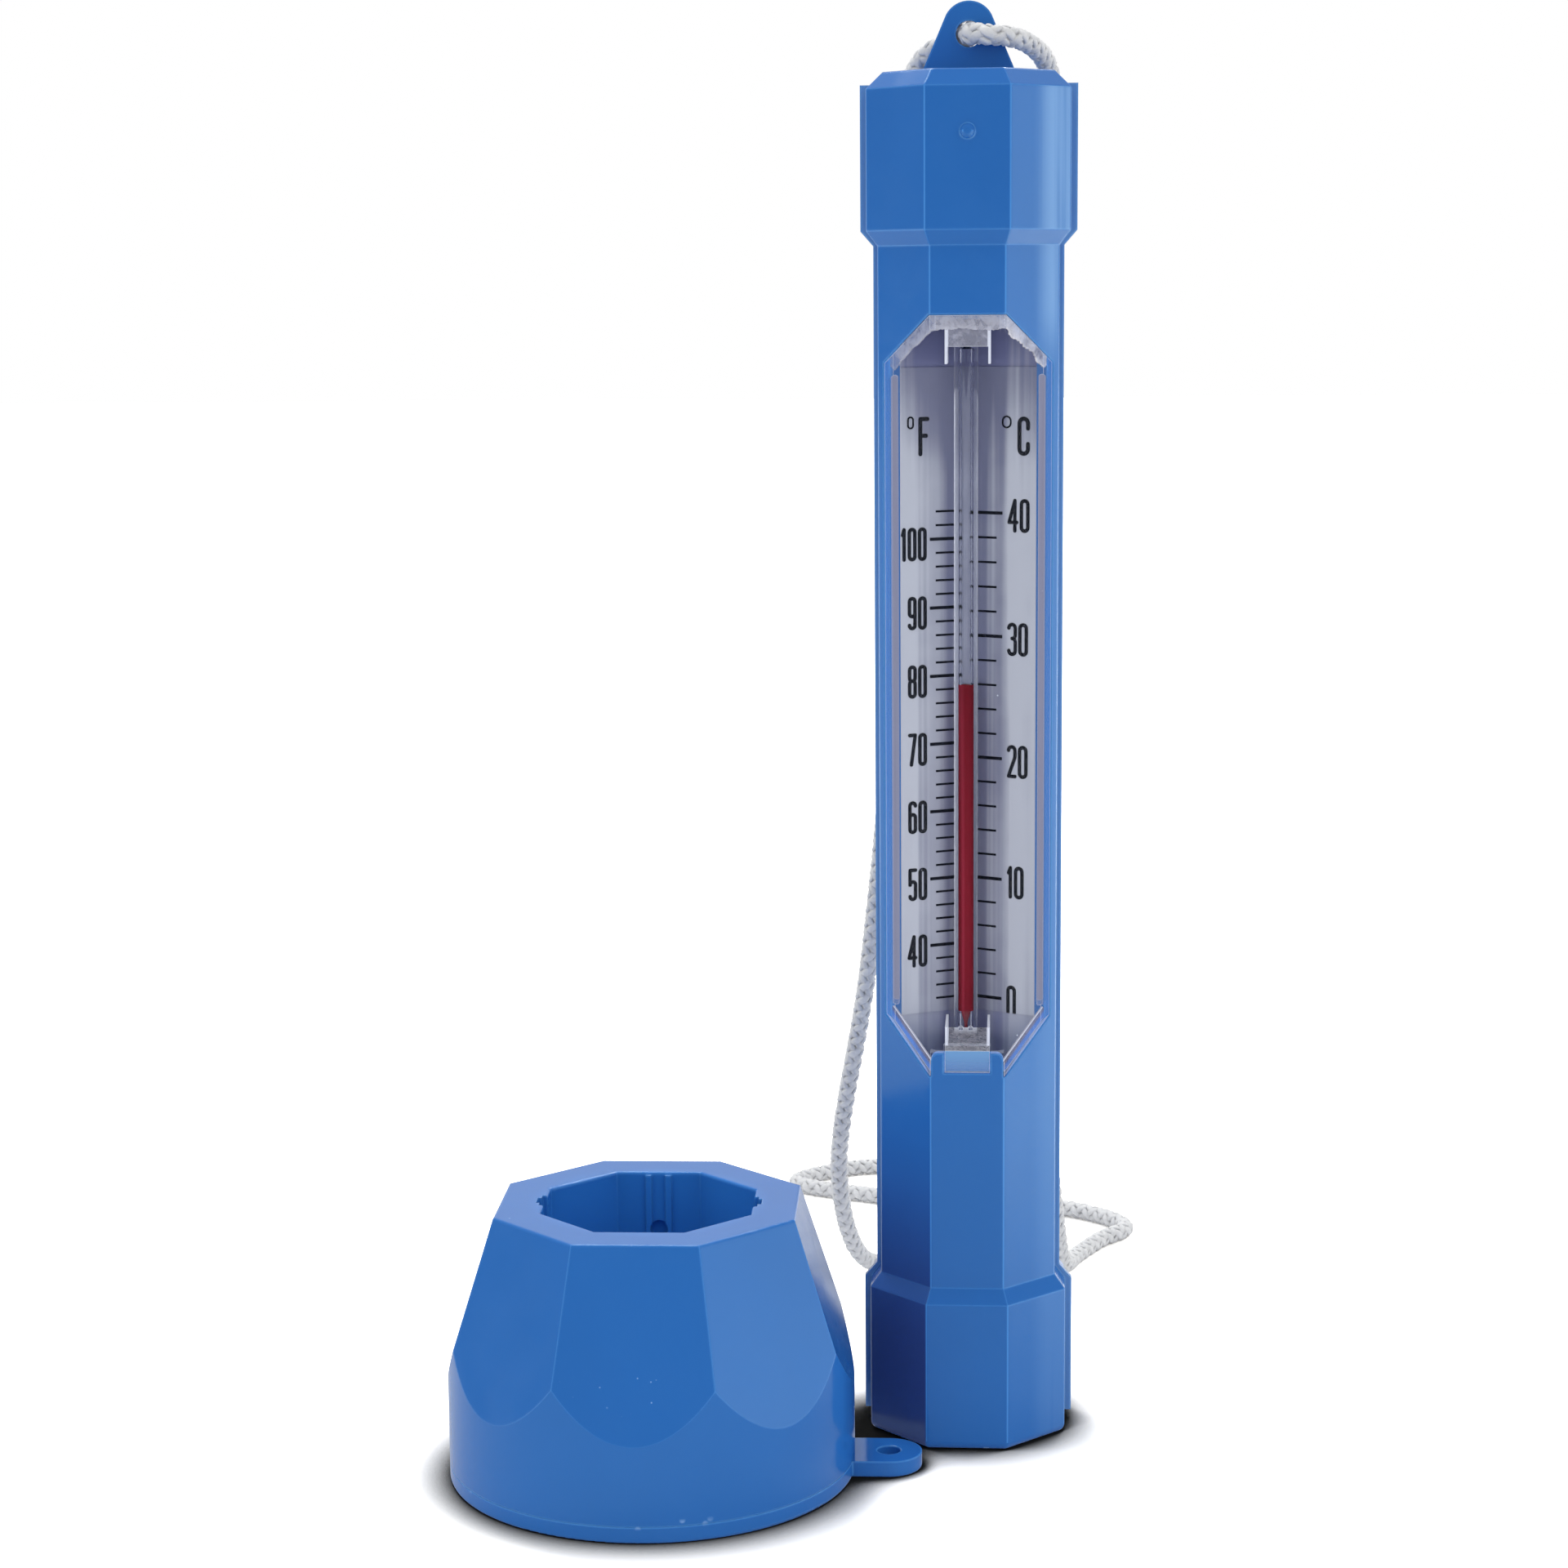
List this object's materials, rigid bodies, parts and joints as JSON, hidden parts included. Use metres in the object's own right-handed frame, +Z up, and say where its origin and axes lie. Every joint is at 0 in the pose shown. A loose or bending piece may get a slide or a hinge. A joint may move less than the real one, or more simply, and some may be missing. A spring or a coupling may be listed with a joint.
{
  "type": "floating pool thermometer",
  "caption": "Octagonal tube thermometer with a clear window, red spirit column and dual scale, a cord through its hanging tab and a loose octagonal float collar.",
  "frame": {"origin": "centre of the tube's bottom face", "axes": "+Z up along the tube, the window faces -Y, +X to the right of someone reading the scale"},
  "size_m": [0.099, 0.1783, 0.2],
  "materials": {
    "housing_plastic": "glossy moulded blue plastic",
    "float_plastic": "glossy moulded blue plastic",
    "clear_plastic": "clear moulded plastic",
    "adhesive": "whitish dried adhesive",
    "white_plastic": "white moulded plastic",
    "printed_sheet": "satin printed sheet",
    "ink": "black print",
    "thermometer_glass": "clear drawn glass",
    "red_spirit": "dyed red spirit",
    "ballast_steel": "plain turned steel",
    "white_cord": "white braided cord"
  },
  "bodies": {
    "thermometer": {"front_housing": "housing_plastic", "rear_housing": "housing_plastic", "window_lens": "clear_plastic", "window_adhesive": "adhesive", "scale_carrier": "white_plastic", "scale_sheet": "printed_sheet", "scale_ticks": "ink", "scale_numerals": "ink", "glass_tube": "thermometer_glass", "spirit_reservoir": "red_spirit", "lower_tube_clip": "clear_plastic", "upper_tube_clip": "clear_plastic", "ballast_weight": "ballast_steel", "cord_bight": "white_cord"},
    "spirit": {"spirit_column": "red_spirit"},
    "cord": {"cord_tail": "white_cord"},
    "float_collar": {"float_shell": "float_plastic", "float_base": "float_plastic"}
  },
  "joints": [
    {"name": "float_lift", "type": "slide", "parent": "thermometer", "child": "float_collar", "axis": [0, 0, 1], "range_m": [0, 0.21]},
    {"name": "spirit_rise", "type": "slide", "parent": "thermometer", "child": "spirit", "axis": [0, 0, 1], "range_m": [-0.04465, 0.02371], "deforming": ["spirit_column"]},
    {"name": "cord_swing", "type": "hinge", "parent": "thermometer", "child": "cord", "pos_m": [0, 0.0152, 0.1845], "axis": [1, 0, 0], "range_deg": [0, 60]}
  ]
}
